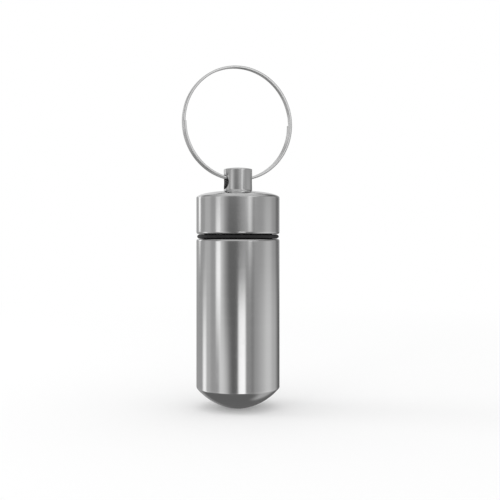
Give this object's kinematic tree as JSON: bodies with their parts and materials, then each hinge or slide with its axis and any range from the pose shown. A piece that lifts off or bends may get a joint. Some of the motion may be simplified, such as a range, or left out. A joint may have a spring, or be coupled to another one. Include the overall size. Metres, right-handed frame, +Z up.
{
  "type": "pill fob keychain",
  "caption": "Slim screw-top metal capsule that keeps pills dry on a key ring: domed case, threaded cap with a drilled post, rubber O-ring seal and wound wire split ring.",
  "frame": {"origin": "middle of the small flat foot at the tip of the case's domed end, on the capsule's axis", "axes": "+Z up the capsule's axis towards the ring; +X along the cap post's cross hole, in the plane of the split ring; -Y is the front"},
  "size_m": [0.0236, 0.017, 0.0698],
  "materials": {
    "case_aluminium": "turned and polished, bare metal",
    "seal_rubber": "black moulded rubber, slight sheen",
    "cap_aluminium": "turned and polished, bare metal",
    "ring_steel": "bright nickel-plated spring steel wire"
  },
  "bodies": {
    "case": {"case_body": "case_aluminium"},
    "seal": {"o_ring": "seal_rubber"},
    "cap": {"cap": "cap_aluminium"},
    "ring": {"split_ring": "ring_steel"}
  },
  "joints": [
    {"name": "cap_turn", "type": "hinge", "parent": "case", "child": "seal", "pos_m": [0, 0, 0.0356], "axis": [0, 0, 1], "range_deg": [0, 1800]},
    {"name": "cap_lift", "type": "slide", "parent": "seal", "child": "cap", "axis": [0, 0, 1], "range_m": [0, 0.0063]},
    {"name": "ring_swing", "type": "hinge", "parent": "cap", "child": "ring", "pos_m": [0, 0, 0.046], "axis": [1, 0, 0], "range_deg": [-120, 120]}
  ],
  "couplings": [
    {"joint": "cap_lift", "follows": "cap_turn", "m_per_rad": 0.00019894}
  ]
}
